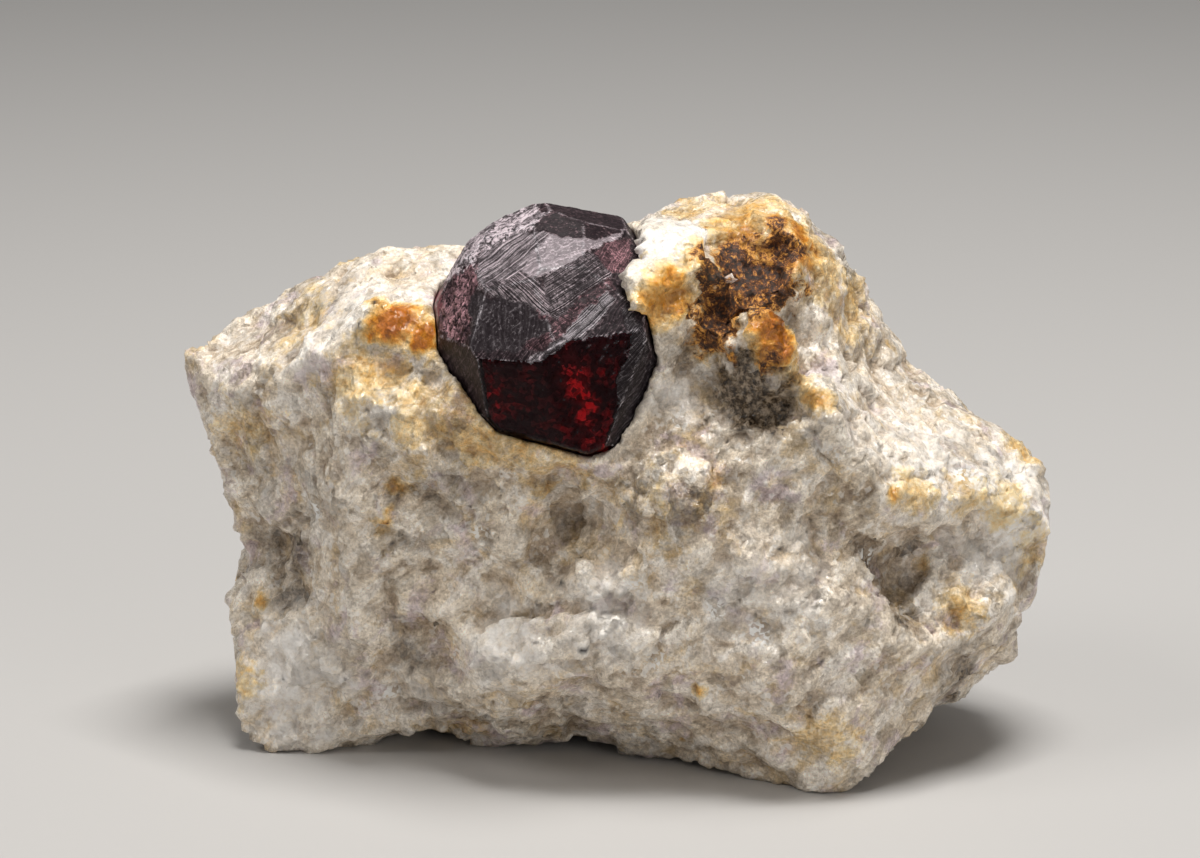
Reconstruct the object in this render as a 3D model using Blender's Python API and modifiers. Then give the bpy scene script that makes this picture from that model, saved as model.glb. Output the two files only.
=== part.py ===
"""Garnet in matrix: one dark red garnet crystal in a notch of a broken block of white feldspar and quartz.

Lengths are in millimetres until a point becomes a vertex. +Z is up, the best face looks along -Y,
and the origin is on the floor under the middle of the specimen.
"""

import math

import bmesh
import bpy
from mathutils import Matrix, Vector, noise

MM = 0.001

# The landmarks are read off a front view taken from a little above the floor.
VIEW_ELEVATION = math.radians(16.0)
VIEW_DISTANCE = 296.0
VIEW_CENTRE = Vector((-1.5, 0.0, 26.5))
RIGHT = Vector((1.0, 0.0, 0.0))
AWAY = Vector((0.0, math.cos(VIEW_ELEVATION), -math.sin(VIEW_ELEVATION)))
UP = Vector((0.0, math.sin(VIEW_ELEVATION), math.cos(VIEW_ELEVATION)))

# The crystal: where its middle lies in the front view, and its size across the flats.
GARNET_PLACE = (-4.0, 7.45, -5.5)
GARNET_BACK_RADIUS = 9.5
GARNET_EDGE_ROUND = 0.35
GARNET_GAP = 0.3

# The broken rock: how fine its skin is, and the size and depth of its lumps and cleavage steps.
ROCK_CENTRE = Vector((0.0, 0.0, 21.0))
SKIN_STEP = 1.0
SKIN_TRIANGLES = 8200
LUMP_SIZE, LUMP_DEPTH = 9.0, 0.5
LUMP_ROUGHNESS, LUMP_DETAIL_STEP, LUMP_LAYERS = 0.9, 2.0, 3
BLOCK_SIZE, BLOCK_DEPTH = 4.5, 0.55
CHIP_SIZE, CHIP_DEPTH = 2.2, 0.25
BLOCK_TILT = 1.6
TILT_PATTERN, RISE_PATTERN = 7.3, 3.1
ROCK_SEED = 4
BASE_CUT_DEPTH = 20.0
BASE_CUT_WIDTH = 120.0

# Each landmark is (across, up, depth behind the middle plane) in the front view.
OUTLINE_LEFT = [
    (-33.8, 6.0, 3.0), (-33.4, 4.6, 1.0), (-31.6, -0.1, 2.0), (-30.9, -3.3, 3.0), (-29.8, -6.4, 3.0),
    (-29.2, -9.0, 2.0), (-28.7, -10.3, 2.0), (-29.3, -13.7, 0.0), (-29.4, -16.9, -1.0),
    (-29.3, -20.5, -2.0), (-28.9, -22.9, -1.5), (-28.7, -25.8, -2.5),
]
OUTLINE_BASE = [
    (-27.2, -27.4, -3.5), (-25.6, -27.0, -3.5), (-24.3, -24.4, -1.0), (-23.8, -23.0, 2.5),
    (-20.8, -23.4, 4.0), (-16.0, -23.8, 3.0), (-13.6, -23.9, 1.5), (-11.6, -24.7, 0.0),
    (-10.0, -25.6, -1.5), (-8.9, -25.8, -2.0), (-5.6, -25.4, -1.5), (-2.7, -25.5, -2.0),
    (-1.9, -24.6, -1.0), (1.0, -23.9, 0.0), (1.8, -25.1, -2.0), (3.2, -26.2, -4.0), (8.0, -26.9, -6.5),
    (13.6, -28.3, -9.5), (15.8, -29.6, -11.8), (18.2, -30.2, -12.6), (20.2, -29.4, -12.0),
    (22.4, -27.0, -12.0), (24.4, -24.8, -9.0), (26.8, -22.2, -6.0),
]
OUTLINE_RIGHT = [
    (28.3, -21.7, 0.0), (31.1, -19.4, 1.0), (33.5, -17.7, -1.0), (33.8, -15.4, -2.0), (34.5, -14.1, -2.5),
    (35.0, -11.3, -2.0), (35.4, -9.4, -2.5), (36.7, -8.5, -3.0), (36.6, -7.2, -2.0), (35.9, -5.9, 0.0),
    (35.4, -3.6, 1.0), (34.0, -2.0, 2.0), (32.7, -0.7, 2.5), (30.5, 0.6, 3.0), (27.9, 1.8, 4.0),
    (26.2, 3.5, 5.5), (24.6, 5.2, 7.0), (23.6, 7.2, 8.0), (23.0, 7.8, 8.0), (21.8, 8.2, 7.0),
    (21.2, 8.4, 5.0),
]
OUTLINE_TOP = [
    (21.0, 10.1, 3.5), (20.2, 12.3, 2.5), (19.8, 13.5, 2.0), (18.2, 14.9, 1.0), (16.6, 16.4, 0.5),
    (15.8, 17.4, 1.0), (13.8, 18.6, 2.0), (12.1, 18.5, 2.5), (8.6, 18.5, 2.0), (6.6, 18.1, 1.0),
    (4.8, 17.4, 0.0), (3.6, 16.4, -1.0), (2.6, 15.9, -2.0), (0.0, 15.1, 2.5), (-3.6, 14.6, 3.5),
    (-7.2, 14.3, 3.5), (-11.0, 14.1, 2.0), (-12.5, 14.6, 2.5), (-16.0, 15.3, 3.0), (-19.0, 14.6, 3.0),
    (-21.1, 13.2, 3.5), (-23.2, 11.9, 4.0), (-26.8, 10.4, 4.0), (-30.6, 8.0, 4.0),
]
LEFT_SHELF = [
    (-28.0, 7.5, 1.5), (-24.0, 9.4, 0.5), (-19.2, 11.9, 0.0), (-15.6, 13.4, 0.5), (-13.6, 11.5, -3.0),
    (-30.8, 4.7, -1.0), (-28.8, 5.0, -2.2), (-26.8, 5.2, -3.4), (-24.8, 5.6, -4.6), (-22.6, 6.3, -6.2),
    (-20.8, 7.4, -7.4), (-19.8, 8.4, -7.6), (-17.9, 9.0, -7.6),
]
STAINED_LUMP = [
    (-16.6, 10.2, -7.5), (-16.0, 8.6, -9.5), (-17.4, 7.9, -8.5), (-14.8, 8.9, -8.0), (-13.8, 7.5, -8.0),
]
LEFT_FACE = [
    (-27.6, -0.1, -1.5), (-24.0, 0.3, -4.5), (-21.2, 1.1, -7.5), (-27.6, -5.7, 0.0), (-24.8, -5.3, -3.5),
    (-21.8, -5.7, -7.5), (-24.8, -10.1, -1.5), (-22.0, -11.3, -5.5), (-27.0, -11.7, 0.0),
    (-27.0, -16.9, -2.5), (-24.0, -16.1, -3.5), (-20.8, -16.9, -6.0), (-27.0, -21.7, -3.5),
    (-23.6, -20.9, -3.5), (-20.0, -21.7, -2.5),
]
LEFT_CORNER = [
    (-20.0, 5.7, -8.0), (-19.8, 2.3, -9.0), (-19.6, -2.5, -9.5), (-20.0, -7.3, -9.0),
    (-19.7, -12.1, -8.5), (-19.2, -16.9, -7.5), (-17.8, -20.9, -5.0),
]
HOLLOW_FACE = [
    (-17.2, 5.1, -9.0), (-17.2, 1.9, -10.0), (-14.4, 4.3, -10.0), (-14.0, 1.5, -11.0),
    (-11.6, 1.8, -10.9), (-16.0, -2.1, -10.5), (-8.4, 0.2, -13.2), (-5.2, -1.2, -14.0),
    (-1.6, -2.6, -14.0), (-12.8, -4.9, -11.0), (-8.0, -5.7, -11.0), (-3.2, -6.5, -9.5),
    (-0.8, -7.3, -10.0), (-14.4, -8.9, -9.5), (-9.6, -9.7, -9.5), (-4.8, -10.5, -10.0),
    (-12.8, -13.7, -9.0), (-8.0, -13.7, -10.0), (-16.0, -12.9, -8.5), (-14.8, -17.3, -7.0),
    (-11.6, -18.5, -8.0), (0.0, -12.1, -12.0),
]
WHITE_LEDGE = [
    (-13.2, -21.7, -7.5), (-10.4, -19.1, -11.0), (-8.4, -17.5, -12.5), (-5.2, -16.2, -12.5),
    (-1.6, -15.1, -13.0), (3.2, -14.6, -13.5), (-8.0, -20.9, -11.0), (-4.0, -20.1, -12.5),
    (0.8, -19.3, -13.0),
]
UNDERCUT = [(-10.4, -23.1, -5.0), (-5.6, -23.0, -7.0), (-0.8, -22.3, -7.5), (3.2, -22.9, -8.0)]
MIDDLE_SWELL = [
    (2.4, -2.1, -12.0), (5.2, -0.1, -12.0), (3.2, -5.7, -13.5), (7.2, -4.1, -13.5), (9.2, 0.3, -11.5),
    (11.6, -0.9, -12.5), (3.2, -10.1, -13.0), (8.0, -8.9, -14.0), (12.8, -5.7, -14.0),
    (13.6, -11.3, -14.5), (8.0, -14.5, -14.0), (18.4, -8.9, -13.0), (17.6, -4.1, -13.0),
]
GARNET_RIGHT_WALL = [
    (2.4, 13.8, -8.8), (2.3, 11.6, -12.2), (3.0, 9.6, -13.4), (4.6, 7.4, -12.6), (6.0, 5.2, -11.6),
    (5.8, 2.6, -11.0), (4.8, 0.4, -11.4), (7.6, 2.3, -9.5),
]
HUMP_FRONT = [
    (5.8, 14.7, -6.0), (5.0, 11.0, -12.0), (9.6, 15.9, -4.0), (13.2, 15.9, -4.5), (15.6, 14.7, -4.0),
    (8.6, 12.3, -9.4), (12.4, 12.7, -9.4), (15.2, 11.9, -8.0), (6.8, 8.3, -11.0),
]
RUSTY_RECESS = [
    (10.8, 9.5, -6.5), (10.8, 6.3, -5.8), (11.4, 3.5, -7.0), (9.2, 5.1, -7.2), (13.0, 1.3, -10.0),
]
KNOB = [
    (13.8, 10.3, -12.5), (13.0, 8.3, -13.6), (14.8, 8.6, -13.8), (14.0, 6.3, -14.0), (15.8, 6.2, -13.2),
    (13.8, 4.3, -13.2),
]
RIGHT_RIDGE = [(17.2, 4.1, -13.0), (18.8, 1.5, -13.5), (20.8, -1.3, -13.5), (23.2, -5.0, -13.0)]
HUMP_SIDE = [
    (18.0, 12.7, -2.0), (17.2, 9.5, -5.0), (19.6, 9.5, -0.5), (18.8, 6.3, -6.0), (20.0, 7.5, -1.0),
    (20.4, 5.4, -2.0), (19.6, 3.5, -7.0),
]
REAR_LUMP = [(22.4, 6.3, 3.5), (23.8, 4.9, 3.0), (22.4, 3.5, 0.0), (24.4, 2.7, 1.5)]
RIGHT_SLOPE = [
    (21.6, 1.1, -5.5), (25.6, 0.7, -1.5), (29.2, -0.5, -0.5), (23.2, -2.1, -9.5), (27.2, -2.9, -6.5),
    (31.2, -2.9, -3.0), (33.6, -3.9, -1.5), (26.0, -5.4, -10.5), (28.8, -5.7, -8.5), (31.2, -5.9, -7.0),
    (33.6, -6.6, -5.0),
]
RIGHT_POCKET = [
    (24.4, -7.3, -11.0), (27.2, -7.4, -7.0), (30.0, -8.5, -6.0), (22.0, -10.1, -11.0),
    (24.8, -10.1, -7.2), (23.6, -12.9, -7.8), (27.2, -11.7, -7.0), (32.4, -10.5, -5.5),
    (28.8, -14.1, -9.0), (32.0, -13.7, -6.5),
]
LOWER_RIGHT = [
    (20.0, -13.7, -13.5), (22.8, -15.7, -12.5), (26.4, -16.9, -11.0), (30.4, -16.9, -7.0),
    (16.0, -16.9, -15.0), (9.6, -18.5, -14.0), (21.6, -20.9, -13.5), (25.6, -20.5, -9.5),
    (16.0, -22.5, -15.0), (10.4, -22.9, -11.0), (19.6, -25.3, -14.4), (6.4, -24.5, -7.5),
    (13.6, -26.1, -11.5),
]

# The back and the underside are out of sight from the front, so these landmarks are plain (x, y, z).
BACK = [
    (-31.5, 9.0, 13.0), (-20.0, 15.5, 12.0), (-6.0, 17.0, 14.0), (9.0, 17.5, 13.0), (23.0, 13.0, 10.0),
    (31.0, 6.5, 12.0), (-32.5, 9.0, 25.0), (-22.0, 14.0, 25.0), (-8.0, 15.5, 27.0), (7.0, 17.0, 29.0),
    (19.0, 14.0, 24.0), (29.0, 8.0, 19.0), (-27.0, 9.5, 33.5), (-16.0, 9.5, 38.0), (-4.0, 10.0, 37.5),
    (5.0, 11.0, 42.0), (13.0, 10.0, 43.0), (18.5, 9.5, 37.0), (24.0, 12.0, 29.0), (0.0, 18.0, 20.0),
    (-14.0, 12.5, 33.0), (30.5, 5.0, 24.0),
]
BACK_FEET = [
    (-29.5, 7.0, 1.0), (-24.0, 13.5, -1.2), (-14.0, 16.0, 0.8), (-4.0, 16.5, -1.2), (10.0, 16.0, 0.6),
    (18.0, 14.0, -1.2), (26.0, 8.0, 2.5),
]
UNDERSIDE = [
    (-18.0, 10.0, 1.6), (-6.0, 6.0, 1.8), (6.0, 4.0, 1.6), (14.0, 0.0, 1.4), (-27.0, 2.0, 1.2),
    (20.0, 2.0, 2.2),
]

# Crystal faces as (across, up, towards the viewer), each with its distance from the crystal's middle.
# Those in front have a parallel twin at the back, in the rock.
GARNET_FRONT_FACES = [
    ((-0.35, 0.86, 0.37), 9.6),
    ((0.30, 0.92, 0.24), 9.8),
    ((0.13, 0.69, 0.71), 9.3),
    ((-0.35, 0.61, 0.71), 9.2),
    ((0.475, 0.61, 0.63), 9.2),
    ((0.225, 0.30, 0.93), 9.2),
    ((-0.32, 0.11, 0.94), 9.2),
    ((-0.775, 0.234, 0.587), 9.0),
    ((0.32, -0.33, 0.888), 9.4),
    ((0.79, -0.41, 0.46), 9.6),
    ((-0.306, -0.50, 0.81), 9.3),
    ((-0.81, -0.375, 0.45), 8.8),
    ((0.41, -0.89, 0.20), 10.6),
]
GARNET_SIDE_FACES = [
    ((0.05, 0.99, -0.12), 10.0),
    ((0.80, 0.58, 0.10), 9.8),
    ((0.97, 0.10, 0.20), 8.8),
    ((0.91, -0.39, 0.10), 9.7),
    ((-0.25, -0.96, 0.10), 8.7),
    ((-0.70, -0.70, 0.10), 8.5),
    ((-0.99, -0.05, 0.10), 8.9),
    ((-0.86, 0.49, 0.10), 9.1),
    ((-0.70, 0.68, 0.20), 9.4),
]


def from_front_view(across, up, depth):
    """The point seen at (across, up) in the front view, this deep behind the middle plane."""
    eye = VIEW_CENTRE - AWAY * VIEW_DISTANCE
    ray = AWAY * VIEW_DISTANCE + RIGHT * across + UP * up
    return eye + ray * ((depth - eye.y) / ray.y)


def direction_in_view(across, up, towards):
    return (RIGHT * across + UP * up - AWAY * towards).normalized()


def collection(name):
    made = bpy.data.collections.new(name)
    bpy.context.scene.collection.children.link(made)
    return made


def add_object(name, bm, home):
    mesh = bpy.data.meshes.new(name)
    bm.to_mesh(mesh)
    bm.free()
    obj = bpy.data.objects.new(name, mesh)
    home.objects.link(obj)
    return obj


def finish(obj, base_color, roughness, transmission=0.0, ior=1.5):
    material = bpy.data.materials.new(obj.name)
    material.use_nodes = True
    shader = material.node_tree.nodes["Principled BSDF"]
    shader.inputs["Base Color"].default_value = (*base_color, 1.0)
    shader.inputs["Roughness"].default_value = roughness
    shader.inputs["Metallic"].default_value = 0.0
    shader.inputs["Transmission Weight"].default_value = transmission
    shader.inputs["IOR"].default_value = ior
    obj.data.materials.clear()
    obj.data.materials.append(material)


def as_cutter(obj):
    obj.hide_render = True
    obj.display_type = "WIRE"
    return obj


def cut(obj, cutter):
    modifier = obj.modifiers.new(f"cut by {cutter.name}", "BOOLEAN")
    modifier.operation = "DIFFERENCE"
    modifier.object = cutter


def rock_landmarks():
    """Every landmark of the rock's surface, in the part's frame."""
    seen = [
        *OUTLINE_LEFT, *OUTLINE_BASE, *OUTLINE_RIGHT, *OUTLINE_TOP,
        *LEFT_SHELF, *STAINED_LUMP, *LEFT_FACE, *LEFT_CORNER, *HOLLOW_FACE, *WHITE_LEDGE, *UNDERCUT,
        *MIDDLE_SWELL, *GARNET_RIGHT_WALL, *HUMP_FRONT, *RUSTY_RECESS, *KNOB, *RIGHT_RIDGE, *HUMP_SIDE,
        *REAR_LUMP, *RIGHT_SLOPE, *RIGHT_POCKET, *LOWER_RIGHT,
    ]
    return [from_front_view(*p) for p in seen] + [Vector(p) for p in BACK + BACK_FEET + UNDERSIDE]


def skin_over(points, centre):
    """A closed skin with a corner at each point. The hull of their directions from the centre gives the faces."""
    bm = bmesh.new()
    place = {}
    for point in points:
        place[bm.verts.new((point - centre).normalized())] = point
    bmesh.ops.convex_hull(bm, input=bm.verts)
    for vertex, point in place.items():
        vertex.co = point * MM
    bmesh.ops.recalc_face_normals(bm, faces=bm.faces)
    return bm


def evaluated_copy(obj, name, home):
    """The object with its modifiers applied, as a new object. The first one is removed."""
    graph = bpy.context.evaluated_depsgraph_get()
    mesh = bpy.data.meshes.new_from_object(obj.evaluated_get(graph))
    bpy.data.objects.remove(obj)
    copy = bpy.data.objects.new(name, mesh)
    home.objects.link(copy)
    return copy


def break_into_blocks(mesh, size, depth):
    """Pushes the skin in and out in cells of this size, each a small tilted facet, as cleaved grains are."""
    normals = [v.normal.copy() for v in mesh.vertices]
    for vertex, normal in zip(mesh.vertices, normals):
        place = vertex.co / (size * MM)
        seed = noise.voronoi(place)[1][0]
        tilt = noise.noise_vector(seed * TILT_PATTERN)
        rise = noise.noise(seed * RISE_PATTERN) + tilt.dot(place - seed) * BLOCK_TILT
        vertex.co += normal * max(-1.0, min(1.0, rise)) * depth * MM


def swell_in_lumps(mesh, size, depth):
    """Soft lumps and hollows, which keep the large faces from being flat."""
    normals = [v.normal.copy() for v in mesh.vertices]
    for vertex, normal in zip(mesh.vertices, normals):
        place = vertex.co / (size * MM)
        rise = noise.fractal(place, LUMP_ROUGHNESS, LUMP_DETAIL_STEP, LUMP_LAYERS)
        vertex.co += normal * rise * depth * MM


def crystal(name, home, grow=0.0):
    """A block cut down along each crystal face until only the crystal is left."""
    seen = GARNET_FRONT_FACES + GARNET_SIDE_FACES
    faces = [(direction_in_view(*normal), distance) for normal, distance in seen]
    faces += [(-direction_in_view(*normal), GARNET_BACK_RADIUS) for normal, distance in GARNET_FRONT_FACES]
    bm = bmesh.new()
    bmesh.ops.create_cube(bm, size=4 * GARNET_BACK_RADIUS * MM)
    for direction, distance in faces:
        geometry = bm.verts[:] + bm.edges[:] + bm.faces[:]
        plane_point = direction * (distance + grow) * MM
        bmesh.ops.bisect_plane(bm, geom=geometry, plane_co=plane_point, plane_no=direction, clear_outer=True)
        bmesh.ops.holes_fill(bm, edges=bm.edges[:], sides=0)
    bmesh.ops.recalc_face_normals(bm, faces=bm.faces)
    obj = add_object(name, bm, home)
    obj.location = from_front_view(*GARNET_PLACE) * MM
    return obj


def build_garnet(home):
    garnet = crystal("garnet_crystal", home)
    bevel = garnet.modifiers.new("worn edges", "BEVEL")
    bevel.width = GARNET_EDGE_ROUND * MM
    bevel.segments = 2
    bevel.limit_method = "ANGLE"
    bevel.angle_limit = math.radians(8.0)
    finish(garnet, (0.10, 0.008, 0.012), roughness=0.18, transmission=0.6, ior=1.8)
    return garnet


def build_matrix(home, cutters):
    cage = add_object("rock cage", skin_over(rock_landmarks(), ROCK_CENTRE), home)
    remesh = cage.modifiers.new("even skin", "REMESH")
    remesh.mode = "VOXEL"
    remesh.voxel_size = SKIN_STEP * MM
    smooth = cage.modifiers.new("soften", "SMOOTH")
    smooth.factor = 0.5
    smooth.iterations = 2
    matrix = evaluated_copy(cage, "matrix", home)
    noise.seed_set(ROCK_SEED)
    swell_in_lumps(matrix.data, LUMP_SIZE, LUMP_DEPTH)
    break_into_blocks(matrix.data, BLOCK_SIZE, BLOCK_DEPTH)
    break_into_blocks(matrix.data, CHIP_SIZE, CHIP_DEPTH)
    thin = matrix.modifiers.new("fewer faces", "DECIMATE")
    thin.ratio = SKIN_TRIANGLES / sum(len(face.vertices) - 2 for face in matrix.data.polygons)

    below = bmesh.new()
    bmesh.ops.create_cube(
        below,
        size=1.0,
        matrix=Matrix.Translation((0.0, 0.0, -BASE_CUT_DEPTH / 2 * MM))
        @ Matrix.Diagonal((BASE_CUT_WIDTH * MM, BASE_CUT_WIDTH * MM, BASE_CUT_DEPTH * MM, 1.0)),
    )
    cut(matrix, as_cutter(add_object("floor cutter", below, cutters)))
    cut(matrix, as_cutter(crystal("garnet seat cutter", cutters, grow=GARNET_GAP)))
    finish(matrix, (0.62, 0.55, 0.45), roughness=0.6)
    return matrix


def stand_on_origin(parts, everything):
    """Moves all objects together, so that the origin lies on the floor under the middle of the parts."""
    graph = bpy.context.evaluated_depsgraph_get()
    corners = []
    for part in parts:
        corners += [part.matrix_world @ Vector(corner) for corner in part.evaluated_get(graph).bound_box]
    low = Vector(min(corner[axis] for corner in corners) for axis in range(3))
    high = Vector(max(corner[axis] for corner in corners) for axis in range(3))
    shift = Vector((-(low.x + high.x) / 2, -(low.y + high.y) / 2, -low.z))
    for obj in everything:
        obj.location += shift


def main():
    for obj in list(bpy.data.objects):
        bpy.data.objects.remove(obj)
    home = collection("garnet in matrix")
    cutters = collection("cutters")
    parts = [build_matrix(home, cutters), build_garnet(home)]
    bpy.context.view_layer.update()
    stand_on_origin(parts, [*home.objects, *cutters.objects])


main()
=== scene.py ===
import math
from collections import namedtuple

import bmesh
import bpy
import numpy as np
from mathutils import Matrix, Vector, bvhtree, noise


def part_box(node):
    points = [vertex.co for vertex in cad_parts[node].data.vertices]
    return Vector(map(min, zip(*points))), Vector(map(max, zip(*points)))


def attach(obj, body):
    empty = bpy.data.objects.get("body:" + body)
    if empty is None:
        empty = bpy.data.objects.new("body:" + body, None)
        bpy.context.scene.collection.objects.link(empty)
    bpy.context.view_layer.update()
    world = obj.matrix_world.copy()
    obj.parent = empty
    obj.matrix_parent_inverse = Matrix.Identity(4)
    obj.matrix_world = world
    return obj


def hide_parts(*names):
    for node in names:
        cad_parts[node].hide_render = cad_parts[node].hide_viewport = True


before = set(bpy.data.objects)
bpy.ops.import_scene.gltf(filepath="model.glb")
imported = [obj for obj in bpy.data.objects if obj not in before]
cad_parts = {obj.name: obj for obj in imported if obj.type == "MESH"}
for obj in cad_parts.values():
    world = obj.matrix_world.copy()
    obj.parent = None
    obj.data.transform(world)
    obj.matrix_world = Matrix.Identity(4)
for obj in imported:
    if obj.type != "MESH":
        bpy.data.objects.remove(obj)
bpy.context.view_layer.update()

MM = 0.001

# The camera stands at the height of a seated viewer and looks a little down on the rock's best face.
# Its picture is the photograph's, 1200 by 858.
CAMERA_TILT = math.radians(16.0)
CAMERA_DISTANCE = 296.0 * MM
CAMERA_AIM = Vector((-1.37, -1.52, 26.5)) * MM
PICTURE_WIDTH = 96.0 * MM
SENSOR_WIDTH = 36.0
RIGHT = Vector((1.0, 0.0, 0.0))
AWAY = Vector((0.0, math.cos(CAMERA_TILT), -math.sin(CAMERA_TILT)))
UP = Vector((0.0, math.sin(CAMERA_TILT), math.cos(CAMERA_TILT)))
eye = CAMERA_AIM - AWAY * CAMERA_DISTANCE
camera_data = bpy.data.cameras.new("camera")
camera_data.sensor_width = SENSOR_WIDTH
camera_data.lens = SENSOR_WIDTH * CAMERA_DISTANCE / PICTURE_WIDTH
camera_data.clip_start = 0.01
camera_data.clip_end = 20.0
camera = bpy.data.objects.new("camera", camera_data)
camera.location = eye
camera.rotation_euler = AWAY.to_track_quat("-Z", "Y").to_euler()
bpy.context.scene.collection.objects.link(camera)
bpy.context.scene.camera = camera

# The floor is a pale matt sweep of paper. The light is a wide soft box overhead, a smaller one at the upper
# left and a weak fill from the front, which a bright room evens out.
FLOOR_SIZE = 6.0
PAPER_COLOUR = (0.50, 0.49, 0.48, 1.0)
PAPER_ROUGHNESS = 0.85
ROOM_COLOUR = (0.90, 0.90, 0.90, 1.0)
ROOM_STRENGTH = 0.17


def principled(name):
    made = bpy.data.materials.new(name)
    made.use_nodes = True
    return made, made.node_tree, made.node_tree.nodes["Principled BSDF"]


paper, _, paper_shader = principled("paper")
paper_shader.inputs["Base Color"].default_value = PAPER_COLOUR
paper_shader.inputs["Roughness"].default_value = PAPER_ROUGHNESS
floor_bm = bmesh.new()
bmesh.ops.create_grid(floor_bm, x_segments=1, y_segments=1, size=FLOOR_SIZE / 2)
floor_mesh = bpy.data.meshes.new("floor")
floor_bm.to_mesh(floor_mesh)
floor_bm.free()
floor_mesh.materials.append(paper)
floor = bpy.data.objects.new("floor", floor_mesh)
bpy.context.scene.collection.objects.link(floor)

room = bpy.data.worlds.new("room")
room.use_nodes = True
room.node_tree.nodes["Background"].inputs["Color"].default_value = ROOM_COLOUR
room.node_tree.nodes["Background"].inputs["Strength"].default_value = ROOM_STRENGTH
bpy.context.scene.world = room
bpy.context.scene.view_settings.view_transform = "Standard"


def soft_box(name, place, aim, size, power, colour):
    data = bpy.data.lights.new(name, "AREA")
    data.shape = "RECTANGLE"
    data.size, data.size_y = size
    data.energy = power
    data.color = colour
    made = bpy.data.objects.new(name, data)
    made.location = place
    made.rotation_euler = (Vector(aim) - Vector(place)).to_track_quat("-Z", "Y").to_euler()
    bpy.context.scene.collection.objects.link(made)


soft_box("overhead box", (0.05, -0.05, 0.50), (0, 0, 0.03), (0.20, 0.16), 2.65, (1.0, 0.98, 0.95))
soft_box("left box", (-0.38, -0.16, 0.42), (0, 0, 0.03), (0.22, 0.22), 0.7, (1.0, 0.97, 0.93))
soft_box("front fill", (0.42, -0.43, 0.18), (0, 0, 0.02), (0.4, 0.35), 0.66, (1.0, 0.97, 0.93))


# The rock is a broken lump of feldspar and quartz, grains a millimetre or two across grown tight together.
# It is broken along their cleavage, so its skin is all small flat steps, and iron has stained it along
# cracks. It has grown tight round the crystal. Reaches and rounds here count steps over the mesh, and the
# sizes and depths in pairs are in millimetres.
MERGE_DISTANCE = 0.001 * MM
SKIN_STEP = 0.37 * MM
SKIN_SOFTENING = 1
SKIN_FACETS = 0.30
RELIEF_REACH = 140
RELIEF_GAIN = 0.30
RELIEF_LIMIT = 0.8
CLEAVED_BLOCKS = [(5.5, 0.48), (2.4, 0.25), (1.2, 0.14)]
BLOCK_TILT = 1.6
RISE_PATTERN = 3.1
TILT_PATTERN = 7.3
WANDER_PATTERN = 1.7
EDGE_WANDER = 0.22
BROKEN_DEPTH = 0.05
BROKEN_SIZE = 1.0
HOLLOW_REACHES = [(16, 0.14), (120, 0.75)]
SMALLEST_CRYSTAL_FACE = 2.5 * MM * MM
CALM_BY_CRYSTAL = 0.25 * MM
CALM_FADE = 1.0 * MM
GAP_TO_CRYSTAL = 0.07 * MM
REACH_TO_CRYSTAL = 0.8 * MM
FIT_ROUNDS = 3
RIM_START = 1.6
RIM_WIDTH = 0.9 * MM
RIM_SOFTENING = 5
RIM_FIT_ROUNDS = 2
FACES_VIEWER = 0.1
SEED = 11
noise.seed_set(SEED)


def merged_copy(solid, name):
    """A copy of a solid's mesh with its loose triangles joined, as a new mesh object."""
    bm = bmesh.new()
    bm.from_mesh(solid.data)
    bmesh.ops.remove_doubles(bm, verts=bm.verts, dist=MERGE_DISTANCE)
    mesh = bpy.data.meshes.new(name)
    bm.to_mesh(mesh)
    bm.free()
    made = bpy.data.objects.new(name, mesh)
    bpy.context.scene.collection.objects.link(made)
    return made


def as_plain_mesh(obj):
    """Turns the object's modifiers into its mesh."""
    graph = bpy.context.evaluated_depsgraph_get()
    mesh = bpy.data.meshes.new_from_object(obj.evaluated_get(graph))
    obj.modifiers.clear()
    old = obj.data
    obj.data = mesh
    bpy.data.meshes.remove(old)


def even_skin(obj, step, softening):
    """Covers the object with an even mesh of this step, softened that many rounds."""
    remesh = obj.modifiers.new("even skin", "REMESH")
    remesh.mode = "VOXEL"
    remesh.voxel_size = step
    if softening:
        smooth = obj.modifiers.new("soften", "SMOOTH")
        smooth.factor = 0.5
        smooth.iterations = softening
    as_plain_mesh(obj)


def crystal_planes(solid):
    """The crystal's flat faces, as outward directions and distances from the origin."""
    areas = {}
    for face in solid.data.polygons:
        key = tuple(round(c, 2) for c in face.normal)
        total, normal, centre = areas.get(key, (0.0, Vector(), Vector()))
        areas[key] = (total + face.area, normal + face.normal * face.area, centre + face.center * face.area)
    planes = []
    for total, normal, centre in areas.values():
        if total > SMALLEST_CRYSTAL_FACE:
            outward = normal.normalized()
            planes.append((*outward, outward.dot(centre / total)))
    return np.array(planes)


garnet_planes = crystal_planes(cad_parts["garnet_crystal"])


def above_crystal_faces(points):
    """How far each point stands out from the plane of each of the crystal's faces."""
    return points @ garnet_planes[:, :3].T - garnet_planes[:, 3]


def distance_from_crystal(points):
    return above_crystal_faces(points).max(axis=1)


def cleave(points, size):
    """How far out, from -1 to 1, each point lies on blocks of this size, each a tilted flat step."""
    moves = np.zeros(len(points))
    for i, point in enumerate(points):
        place = Vector(point) / (size * MM)
        place += noise.noise_vector(place * WANDER_PATTERN) * EDGE_WANDER
        middle = noise.voronoi(place)[1][0]
        tilt = noise.noise_vector(middle * TILT_PATTERN)
        moves[i] = noise.noise(middle * RISE_PATTERN) + tilt.dot(place - middle) * BLOCK_TILT
    return np.clip(moves, -1.0, 1.0)


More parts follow.
